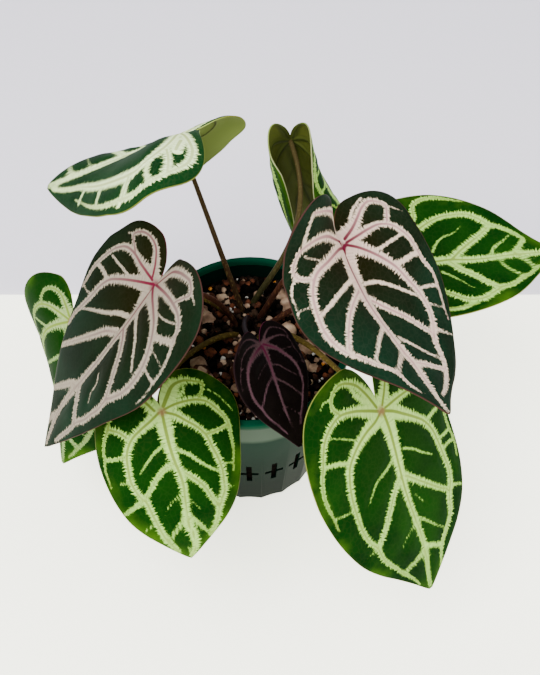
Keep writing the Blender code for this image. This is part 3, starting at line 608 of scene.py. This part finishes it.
def blade_points(numbers, out, angle, lift=0.0):
    """Points of the bent blade in its own place, in millimetres: X to the tip, Y to its left, Z up."""
    length = numbers["length"]
    left = angle >= 0
    turn = np.radians(np.abs(angle))
    along, across, _ = flat_place(numbers, out, angle)
    blend = np.clip((along + 0.3) / 1.3, 0, 1)
    blend = blend * blend * (3 - 2 * blend)
    base_rise = np.where(left, *numbers["base_rise"])
    tip_rise = np.where(left, *numbers["tip_rise"])
    behind = np.clip((0.1 - along) / 0.35, 0, 1)
    lobe_rise = np.where(left, *numbers["lobe_rise"]) * behind * behind * (3 - 2 * behind)
    rise = np.radians(base_rise + (tip_rise - base_rise) * blend + lobe_rise)
    curl = np.radians(np.where(left, *numbers["curl"])) / (HALF_WIDTH * length)
    side, up = arc(across * length, rise, curl)
    side = np.where(left, side, -side)
    ripple = np.sin(np.radians(angle) * numbers["waves"] + numbers["heading"]) * out ** 3 * np.sin(turn)
    up = up + numbers["wave"] * length * ripple
    # The lift stands off the bent surface
    slant = np.where(left, rise - curl * across * length, -(rise - curl * across * length))
    side = side - lift * np.sin(slant)
    up = up + lift * np.cos(slant)
    ahead = np.clip(along, 0, None)
    swing = np.arctan(2 * numbers["sweep"] * ahead)
    drift = numbers["sweep"] * ahead * ahead * length
    bend = np.where(along >= 0, math.radians(numbers["bend"]), -math.radians(numbers["lobe_bend"]) / 0.4)
    run, drop = arc(np.abs(along) * length, 0.0, np.abs(bend) / length)
    drop = drop * np.where(along >= 0, np.sign(bend), -np.sign(bend))
    run = np.where(along >= 0, run, -run)
    tilt = -bend * along
    x = run - side * np.sin(swing) * np.cos(tilt) - up * np.sin(tilt)
    y = drift + side * np.cos(swing)
    z = drop - side * np.sin(swing) * np.sin(tilt) + up * np.cos(tilt)
    return np.stack([x, y, z], -1)


def vein_samples(paths, length):
    """Points every VEIN_STEP along all veins: place, half width, distance run, half width of its line."""
    rows = []
    start = 0.0
    for widths, points in paths:
        places = np.array(points, float) * length / 100
        far = np.concatenate([[0], np.cumsum(np.hypot(*np.diff(places, axis=0).T))])
        steps = np.linspace(0, far[-1], max(3, int(far[-1] / VEIN_STEP)))
        if len(points) > 2:
            a, b = smooth(steps, far, places[:, 0]), smooth(steps, far, places[:, 1])
        else:
            a, b = np.interp(steps, far, places[:, 0]), np.interp(steps, far, places[:, 1])
        half = np.interp(steps / far[-1], np.linspace(0, 1, len(widths)), widths) / 2 * length / 100
        line = np.full(len(steps), NO_LINE)
        if max(widths) >= MAIN_WIDTH:
            line = np.clip(LINE_SHARE * half, *LINE_HALVES)
        rows.append(np.stack([a, b, np.maximum(half, LEAST_HALF), start + steps, line], -1))
        start += far[-1] + VEIN_GAP
    return np.concatenate(rows)


def vein_fields(paths, length, along, across):
    """Each point's depth inside a pale band, the run along it, its half width, and the way to a main line."""
    samples = vein_samples(paths, length).astype(np.float32)
    pale, run, girth, rib = (np.empty(len(along), np.float32) for _ in range(4))
    for first in range(0, len(along), BATCH):
        part = slice(first, first + BATCH)
        forward = along[part, None] * length - samples[None, :, 0]
        aside = across[part, None] * length - samples[None, :, 1]
        away = np.hypot(forward, aside)
        inside = samples[None, :, 2] - away
        nearest = inside.argmax(1)
        pale[part] = inside[np.arange(len(nearest)), nearest]
        vein_at = samples[nearest]
        behind = samples[np.maximum(nearest - 1, 0)]
        ahead = samples[np.minimum(nearest + 1, len(samples) - 1)]
        turn = ((ahead[:, 0] - behind[:, 0]) * (across[part] * length - vein_at[:, 1])
                - (ahead[:, 1] - behind[:, 1]) * (along[part] * length - vein_at[:, 0]))
        run[part] = vein_at[:, 3] + np.where(turn > 0, OTHER_SIDE, 0)
        girth[part] = np.clip(vein_at[:, 2], *GIRTHS)
        rib[part] = (away - samples[None, :, 4]).min(1)
    return pale, run, girth, rib


def leaf_frame(numbers):
    """A leaf's turn and place: its junction is its origin, X runs to its tip and Z off its upper face."""
    turn = [math.radians(numbers[k]) for k in ("roll", "dip", "heading")]
    return Matrix.Translation(Vector(numbers["junction"]) * MM) @ Euler(turn).to_matrix().to_4x4()


def new_mesh(name, bm, *materials):
    """Turn a bmesh into a mesh with its materials."""
    mesh = bpy.data.meshes.new(name)
    bm.to_mesh(mesh)
    bm.free()
    for finish in materials:
        mesh.materials.append(finish)
    return mesh


def new_object(name, data):
    """Put a mesh, curve, light or camera into the scene."""
    made = bpy.data.objects.new(name, data)
    bpy.context.scene.collection.objects.link(made)
    return made


def new_piece(name, mesh):
    """Put a smoothly shaded mesh into the scene that moves with the pot."""
    mesh.shade_smooth()
    made = new_object(name, mesh)
    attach(made, "root")
    return made


def make_blade(name, numbers, finishes):
    """A blade with its veins, quilted between them, in place of its node."""
    size = numbers["length"] / USUAL_LENGTH
    bm = bmesh.new()
    bmesh.ops.create_grid(bm, x_segments=int(BLADE_RINGS * size), y_segments=int(BLADE_SPOKES * size), size=1)
    out = np.array([(v.co.x + 1) / 2 for v in bm.verts])
    angle = np.array([v.co.y * 180 for v in bm.verts])
    along, across, margin = flat_place(numbers, out, angle)
    length = numbers["length"]
    pale, run, girth, rib = vein_fields(VEINS[name], length, along, np.where(angle >= 0, across, -across))
    reach = np.hypot(along, across)
    pale += POOL * size * np.exp(-(reach / POOL_REACH) ** 2)
    edge = (1 - out) * margin * length
    quilt = np.clip(-pale / QUILT_FAR, 0, 1)
    quilt = quilt * quilt * (3 - 2 * quilt) * np.clip(edge / QUILT_EDGE, 0, 1)
    places = blade_points(numbers, out, angle, QUILT * quilt)
    where = leaf_frame(numbers)
    layers = {"pale": pale, "run": run, "girth": girth, "rib": rib, "edge": edge, "reach": reach}
    for key in layers:
        bm.verts.layers.float.new(key)
    shape = bm.verts.layers.deform.new()
    keys = {key: bm.verts.layers.float[key] for key in layers}
    swell = np.clip(1 - rib / RIB_SPREAD, 0, 1) * np.clip(RIB_END - reach, 0, 1)
    swell = swell * np.clip(edge / RIB_EDGE, 0, 1)
    for i, v in enumerate(bm.verts):
        v.co = where @ (Vector(places[i]) * MM)
        for key, values in layers.items():
            v[keys[key]] = float(values[i])
        v[shape][0] = float(swell[i])
    bmesh.ops.remove_doubles(bm, verts=bm.verts, dist=1e-6)
    piece = new_piece("blade_" + name, new_mesh("blade_" + name, bm, *finishes))
    up = where.to_3x3() @ Vector((0, 0, 1))
    if sum(p.normal.dot(up) * p.area for p in piece.data.polygons) < 0:
        piece.data.flip_normals()
    piece.vertex_groups.new(name="ribs")
    body = piece.modifiers.new("body", "SOLIDIFY")
    body.thickness = RIB_THICK * MM
    body.offset = -1
    body.vertex_group = "ribs"
    body.thickness_vertex_group = THIN_PART
    body.material_offset = 1
    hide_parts("leaf_" + name)


def stalk_route(numbers):
    """The stalk's line from under the mix to the blade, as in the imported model, and on into the blade."""
    frame_of_leaf = leaf_frame(numbers)
    foot = Vector((*numbers["foot"], SOIL_TOP)) * MM
    junction = frame_of_leaf.translation
    span = (junction - foot).length
    lean = Vector((*numbers["lean"], -1)).normalized()
    droop = math.radians(max(0.0, -min(numbers["base_rise"])))
    under = BLADE_THICK + GAP + PETIOLE_RADIUS * TOP_TAPER * (math.tan(droop) + lean.xy.length) + TOP_CLEAR
    top = frame_of_leaf @ (Vector((0, 0, -under)) * MM)
    start = foot + Vector((0, 0, STRAIGHT * MM))
    rising = Vector((*numbers["slope"], 1)) * numbers["upright"] * span
    handles = (start, start + rising, top + frame_of_leaf.to_3x3() @ lean * numbers["stoop"] * span, top)
    route = [foot - Vector((0, 0, PETIOLE_DEPTH * MM))]
    for i in range(STALK_POINTS):
        t = i / (STALK_POINTS - 1)
        weights = ((1 - t) ** 3, 3 * t * (1 - t) ** 2, 3 * t * t * (1 - t), t ** 3)
        route.append(sum((w * h for w, h in zip(weights, handles)), Vector()))
    route.append(frame_of_leaf @ Vector((0, 0, -STALK_SINK * MM)))
    return route


def make_stalk(name, numbers, finish):
    """A round stalk that thins upwards and swells a little just below its blade."""
    curve = bpy.data.curves.new("stalk_" + name, "CURVE")
    curve.dimensions = "3D"
    curve.bevel_depth = PETIOLE_RADIUS * MM
    curve.bevel_resolution = 4
    curve.use_fill_caps = True
    spline = curve.splines.new("POLY")
    route = stalk_route(numbers)
    spline.points.add(len(route) - 1)
    far = 0.0
    whole = sum((b - a).length for a, b in zip(route, route[1:]))
    for i, (point, place) in enumerate(zip(spline.points, route)):
        far += (place - route[max(i - 1, 0)]).length
        left = (whole - far) / MM
        swelling = SWELLING * math.exp(-((left - SWELLING_PLACE) / SWELLING_WIDTH) ** 2)
        point.co = (*place, 1)
        point.radius = FOOT_THICKNESS - THINNING * far / whole + swelling
    curve.materials.append(finish)
    drawn = new_object("drawn_stalk", curve)
    bpy.context.view_layer.update()
    mesh = bpy.data.meshes.new_from_object(drawn.evaluated_get(bpy.context.evaluated_depsgraph_get()))
    bpy.data.objects.remove(drawn)
    mesh.name = "stalk_" + name
    piece = new_piece("stalk_" + name, mesh)
    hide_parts("petiole_" + name)


def stalk_finish(name, low, high, fleck):
    """A living stalk's smooth, satin skin: an even tone, lighter upwards, with fine lengthwise flecks."""
    made, tree, shader = new_material(name, Roughness=0.42, IOR=1.45, Specular_IOR_Level=0.02)
    place = add_node(tree, "TexCoord").outputs["Object"]
    height = add_node(tree, "SeparateXYZ", {"Vector": place}).outputs["Z"]
    rising = add_node(tree, "MapRange", {"Value": height, "From Min": 0.115, "From Max": 0.2}).outputs[0]
    stretched = add_node(tree, "Mapping", {"Vector": place, "Scale": (1.0, 1.0, 0.25)}).outputs["Vector"]
    spots = add_node(tree, "TexNoise", {"Vector": stretched, "Scale": 900.0, "Detail": 2.0}).outputs["Fac"]
    spots = add_node(tree, "MapRange", {"Value": spots, "From Min": 0.55, "From Max": 0.75}).outputs[0]
    skin = linear(low)
    for share, over in ((rising, high), (spots, fleck)):
        skin = add_node(tree, "Mix", {FACTOR: share, FIRST: skin, SECOND: linear(over)},
                        data_type="RGBA").outputs[MIXED]
    tree.links.new(skin, shader.inputs["Base Color"])
    return made


def soil_height(x, y):
    """The mix's surface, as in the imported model. Millimetres."""
    away = math.hypot(x, y) / MOUTH_RADIUS
    mounds = math.sin(x * 0.19 + 1.3) * math.cos(y * 0.23 - 0.4) + 0.6 * math.sin(x * 0.41 - y * 0.37)
    return SOIL_TOP + SOIL_RELIEF * max(0.0, 1 - away ** 4) * (0.9 + 0.7 * mounds)


def grain(bm, draw, place, size, flatness, roughness, detail=2):
    """One lump, with its middle at place, added to a bmesh. Millimetres."""
    lump = bmesh.ops.create_icosphere(bm, subdivisions=detail, radius=size * MM)["verts"]
    seed = Vector((draw.uniform(-9, 9), draw.uniform(-9, 9), draw.uniform(-9, 9)))
    for v in lump:
        v.co *= 1 + roughness * noise.noise(v.co / (size * MM) * 1.3 + seed)
        v.co.z *= flatness
    turn = Euler((draw.uniform(-.4, .4), draw.uniform(-.4, .4), draw.uniform(0, math.tau))).to_matrix()
    bmesh.ops.rotate(bm, verts=lump, cent=(0, 0, 0), matrix=turn)
    bmesh.ops.translate(bm, verts=lump, vec=Vector(place) * MM)


def mix_finish(name, colours, roughness, spacing, **more):
    """One kind of lump in the mix, mottled from lump to lump by a coarse noise."""
    made, tree, shader = new_material(name, Roughness=roughness, **{"Specular_IOR_Level": 0.04, **more})
    place = add_node(tree, "TexCoord").outputs["Object"]
    patches = add_node(tree, "TexNoise", {"Vector": place, "Scale": 1 / (spacing * MM), "Detail": 4.0})
    stops = [(0.3 + 0.4 * i / (len(colours) - 1), c) for i, c in enumerate(colours)]
    colour = add_node(tree, "ValToRGB", {"Fac": patches.outputs["Fac"]}, stops=stops).outputs["Color"]
    tree.links.new(colour, shader.inputs["Base Color"])
    pores = add_node(tree, "TexNoise", {"Vector": place, "Scale": 1500.0, "Detail": 3.0}).outputs["Fac"]
    bump = add_node(tree, "Bump", {"Height": pores, "Distance": 0.0004, "Strength": 0.5})
    tree.links.new(bump.outputs["Normal"], shader.inputs["Normal"])
    return made


def make_mix():
    """The loose lumps over the mix's body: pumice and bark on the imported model's lumps, and smaller bits."""
    feet = [numbers["foot"] for numbers in LEAVES.values()]
    kinds = {name: bmesh.new() for name in ("pumice", "bark", "perlite", "feed_beads", "fine_bits")}
    draw = random.Random(11)
    made = 0
    while made < CHUNKS:
        away = CHUNK_FIELD * math.sqrt(draw.random())
        angle = draw.uniform(0, math.tau)
        size = draw.uniform(*CHUNK_SIZES)
        if made < LARGE_CHUNKS:
            size = max(CHUNK_SIZES)
        x, y = away * math.cos(angle), away * math.sin(angle)
        clear = PETIOLE_RADIUS + HOLE_CLEAR + 1 + size
        if min(math.hypot(x - foot_x, y - foot_y) for foot_x, foot_y in feet) > clear:
            for _ in range(CHUNK_DRAWS):
                draw.uniform(*CHUNK_ROUGHNESS)
            draw.uniform(0, math.tau)
            seat = soil_height(x, y) + size * draw.uniform(-0.1, 0.3)
            kind = ("pumice", "bark", "pumice")[made % 3]
            own = random.Random(made)
            grain(kinds[kind], own, (x, y, seat), size * 1.1, CHUNK_FLATNESS, 0.35)
            made += 1
    draw = random.Random(5)
    for _ in range(GRAINS):
        away = SOIL_RADIUS * math.sqrt(draw.random())
        angle = draw.uniform(0, math.tau)
        x, y = away * math.cos(angle), away * math.sin(angle)
        bits = [(kind, draw.uniform(least, most)) for kind, least, most in GRAIN_KINDS]
        kind, size = draw.choices(bits + [("feed_beads", BEAD_SIZE)], GRAIN_SHARES)[0]
        if away > SOIL_RADIUS - size:
            continue
        rough = 0.0 if kind == "feed_beads" else GRAIN_ROUGHNESS
        seat = soil_height(x, y) + size * GRAIN_SEAT
        grain(kinds[kind], draw, (x, y, seat), size, GRAIN_FLATNESS, rough, 1 if size < SMALL_GRAIN else 2)
    return kinds


def pot_finishes():
    """Injection-moulded polypropylene, dyed through, outside and inside the pot.

    It gives the eye a smooth deep green with a faint moulded grain and hardly a highlight. The green darkens
    towards the foot, which is painted shade, and the dull grey-green band below the rim is a painted
    reflection of the pale floor. The inner wall is painted almost black, as shade.
    """
    outside, tree, shader = new_material("moulded_polypropylene", Roughness=0.34, IOR=1.49,
                                         Specular_IOR_Level=0.006)
    place = add_node(tree, "TexCoord").outputs["Object"]
    height = add_node(tree, "SeparateXYZ", {"Vector": place}).outputs["Z"]
    height = add_node(tree, "MapRange", {"Value": height, "From Min": 0.02, "From Max": 0.129}).outputs[0]
    # From the foot up: darker low down, painted shade; a grey-green band, a painted reflection of the floor;
    # then the rim's own clearer green
    stops = [(0.0, "#020e09"), (0.4, "#061a12"), (0.72, "#10261d"), (0.76, "#404c42"), (0.93, "#404c42"),
             (0.97, "#003422")]
    tone = add_node(tree, "ValToRGB", {"Fac": height}, stops=stops).outputs["Color"]
    tree.links.new(tone, shader.inputs["Base Color"])
    pits = add_node(tree, "TexNoise", {"Vector": place, "Scale": 1300.0, "Detail": 2.0}).outputs["Fac"]
    bump = add_node(tree, "Bump", {"Height": pits, "Distance": 0.0001, "Strength": 0.3})
    tree.links.new(bump.outputs["Normal"], shader.inputs["Normal"])
    # Inside: a near-black colour that is painted shade, not the plastic's own
    inside, _, shader = new_material("polypropylene_in_painted_shade", Roughness=0.4, Specular_IOR_Level=0.006)
    shader.inputs["Base Color"].default_value = linear("#021710")
    return outside, inside


def make_pot():
    """The moulded pot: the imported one's own form, with its edges rounded as a mould leaves them."""
    bm = bmesh.new()
    bm.from_mesh(bpy.data.objects["pot"].data)
    bmesh.ops.remove_doubles(bm, verts=bm.verts, dist=1e-6)
    bmesh.ops.dissolve_limit(bm, angle_limit=math.radians(1), verts=bm.verts, edges=bm.edges)
    bm.normal_update()
    for face in bm.faces:
        middle = face.calc_center_median()
        inward = middle.x * face.normal.x + middle.y * face.normal.y < -0.5 * middle.xy.length
        face.material_index = 1 if inward and middle.z < INNER_TOP * MM else 0
    pot = new_piece("moulded_pot", new_mesh("moulded_pot", bm, *pot_finishes()))
    pot.data.set_sharp_from_angle(angle=math.radians(POT_EDGE_ANGLE))
    edges = pot.modifiers.new("moulded_edges", "BEVEL")
    edges.width = POT_EDGE * MM
    edges.segments = 2
    edges.limit_method = "ANGLE"
    edges.angle_limit = math.radians(POT_EDGE_ANGLE)
    edges.harden_normals = True
    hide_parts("pot")


# Colours that several blades share: their tissue, green or dark, and the green ones' bands and backs
GREEN_TISSUE = {"lamina": "#0a3003", "deep": "#022002", "near": "#062602", "rib": "#667a2c",
                "yellow": "#4c7010"}
DARK_TISSUE = {"lamina": "#0b2113", "deep": "#08160a", "near": "#101103", "rib": "#571226",
               "margin": "#3a2420", "under_lamina": "#5c4c3c", "under_vein": "#46342a", "knot": "#571226",
               "line_fade": 0.5}
GREEN_BANDS = {"pale": "#a8cc6a", "fringe": "#88b44c"}
GREEN_BACK = {"under_lamina": "#5c6c26", "under_vein": "#3f4a1c"}
# A grown blade, a warm full green with yellow-green veins
green = blade_finish("green_blade", **GREEN_TISSUE, **GREEN_BANDS, **GREEN_BACK, margin="#6a7030")
# The same green blade in the shade of another leaf, so its veins are dull
shaded = blade_finish("shaded_green_blade", **GREEN_TISSUE, **GREEN_BACK, pale="#8ca064", fringe="#789454",
                      margin="#5a6030")
# A grown blade that turns its back to the eye, a duller olive
olive_back = blade_finish("olive_blade", **GREEN_TISSUE, **GREEN_BANDS, margin="#80845c",
                          under_lamina="#404617", under_vein="#232a0d")
# A grown blade with almost white veins, the palest of all
whitish = blade_finish("whitish_green_blade", lamina="#0a2c0e", deep="#04220a", near="#0a2c0e", rib="#8a9850",
                       pale="#dcecb4", fringe="#c4dc90", margin="#6a7030", under_lamina="#626f34",
                       under_vein="#24200e", knot="#904838", line_fade=0.3)
# A younger blade, blackish green with silvery pink veins and wine red lines in them
dark = blade_finish("dark_blade", **DARK_TISSUE, pale="#c6aa9a", fringe="#d8c2a8", rib_far="#8e6468")
# The same young blade with veins of a dull grey brown
dusky = blade_finish("dusky_blade", **DARK_TISSUE, pale="#8c8070", fringe="#a09480", rib_far="#645450",
                     teeth=2.8)
# The youngest blade, purple black, with veins that hardly show
purple = blade_finish("purple_blade", lamina="#0e0a08", deep="#040202", near="#0a0606", pale="#4c3438",
                      fringe="#3b2a2d", rib="#3e0e24", margin="#1c1012", under_lamina="#2c141c",
                      under_vein="#48202c", rib_far="#523840", knot="#3e0e24", teeth=1.6, speckle=0.4)

# Living stalks, satin and evenly coloured: brown, reddish, olive, dull olive, and purple under the youngest
brown_stalk = stalk_finish("brown_stalk", "#281a10", "#3c2e1a", "#544628")
red_stalk = stalk_finish("reddish_stalk", "#2c1812", "#402418", "#5c3e28")
olive_stalk = stalk_finish("olive_stalk", "#3a2e14", "#50441c", "#6a5e2c")
dull_stalk = stalk_finish("dull_olive_stalk", "#30301c", "#38301a", "#4a4226")
purple_stalk = stalk_finish("purple_stalk", "#0c0607", "#160b0d", "#26161a")

# Each leaf's blade finish, the slot its blade shows, and its stalk's finish
LOOKS = {
    "back_left": (whitish, "blade_green", brown_stalk),
    "left": (dusky, "blade_dark", red_stalk),
    "far_left": (shaded, "blade_green", olive_stalk),
    "front_left": (green, "blade_green", olive_stalk),
    "centre": (purple, "blade_purple", purple_stalk),
    "right": (dark, "blade_dark", red_stalk),
    "front_right": (green, "blade_green", olive_stalk),
    "far_right": (green, "blade_green", red_stalk),
    "back": (olive_back, "blade_green", dull_stalk),
}
for name, numbers in LEAVES.items():
    finishes, slot, stalk = LOOKS[name]
    make_blade(name, numbers, finishes)
    make_stalk(name, numbers, stalk)

make_pot()

# Damp composted bark and peat under and between the lumps: its own dark brown, painted down to almost black as
# shade
mix_body = mix_finish("damp_mix_and_painted_shade", ("#020101", "#060403", "#0e0a07"), 0.9, 3, Specular_IOR_Level=0.005)
for slot in bpy.data.objects["soil"].material_slots:
    slot.material = mix_body
MIX = {
    # Crushed pumice, a dusty grey brown to cream, rough with open pores
    "pumice": mix_finish("crushed_pumice", ("#443024", "#846a56", "#b09880"), 0.85, 9),
    # Pine bark, a dull reddish brown, mottled
    "bark": mix_finish("pine_bark", ("#1a0f0a", "#3a2117", "#6a3a24"), 0.8, 8),
    # Expanded perlite, chalky and greyish white, the lightest of the lumps
    "perlite": mix_finish("expanded_perlite", ("#8c8880", "#b4b0a8", "#d4d0c8"), 0.8, 4),
    # Coated slow feed, amber and a little glassy
    "feed_beads": mix_finish("coated_feed_beads", ("#7a4312", "#b06a1e", "#c98a35"), 0.3, 2,
                             Specular_IOR_Level=0.4),
    # Peat crumbs and chips, a matte dark brown between the lumps
    "fine_bits": mix_finish("peat_crumbs", ("#0a0705", "#18100b", "#33251b"), 0.9, 5),
}
for name, bm in make_mix().items():
    lumps = new_piece(name, new_mesh(name, bm, MIX[name]))

# Matte paint, an even tone without a reflection: a warm white floor, and a pale lilac one behind it.
# The near floor also glows, a painted light that makes it brighter than the lamps do
for name, corners, height, colour, painted_glow in (("near_floor", (-3, 3, -3, FLOOR_END), 0.0, "#f6f6e4", 2.0),
                                            ("far_floor", (-9, 9, -9, 9), -FLOOR_DROP, "#dcd8e0", 0.0)):
    bm = bmesh.new()
    bmesh.ops.create_grid(bm, x_segments=1, y_segments=1, size=0.5)
    left, right, front, rear = corners
    bmesh.ops.scale(bm, vec=(right - left, rear - front, 1), verts=bm.verts)
    bmesh.ops.translate(bm, vec=((left + right) / 2, (front + rear) / 2, height), verts=bm.verts)
    surface, tree, shader = new_material(name + "_paint", Roughness=0.6)
    # The emission is painted light: the near floor glows though it is no lamp
    for key, value in (("Base Color", linear(colour)), ("Emission Color", linear(colour)),
                       ("Emission Strength", painted_glow)):
        shader.inputs[key].default_value = value
    floor = new_object(name, new_mesh(name, bm, surface))

# An evenly lit pale room, a broad lamp from the front left and a weaker one from the right: metres and watts
world = bpy.data.worlds.new("studio")
bpy.context.scene.world = world
world.use_nodes = True
for key, value in (("Color", linear("#eef0f6")), ("Strength", 1.4)):
    world.node_tree.nodes["Background"].inputs[key].default_value = value
for name, place, size, power in (("key_light", (-0.5, -0.5, 1.5), 1.2, 52),
                                 ("fill_light", (1.1, -0.2, 1.1), 1.0, 14)):
    light = bpy.data.lights.new(name, "AREA")
    light.size = size
    light.energy = power
    lamp = new_object(name, light)
    lamp.location = place
    lamp.rotation_euler = (Vector(LAMP_TARGET) - Vector(place)).to_track_quat("-Z", "Y").to_euler()

lens = bpy.data.cameras.new("camera")
lens.sensor_fit = "VERTICAL"
lens.sensor_height = FILM_HEIGHT
lens.lens = CAMERA_LENS
camera = new_object("camera", lens)
camera.location = CAMERA_PLACE
camera.rotation_euler = (math.radians(CAMERA_TURN), 0, 0)
bpy.context.scene.camera = camera

bpy.context.view_layer.update()
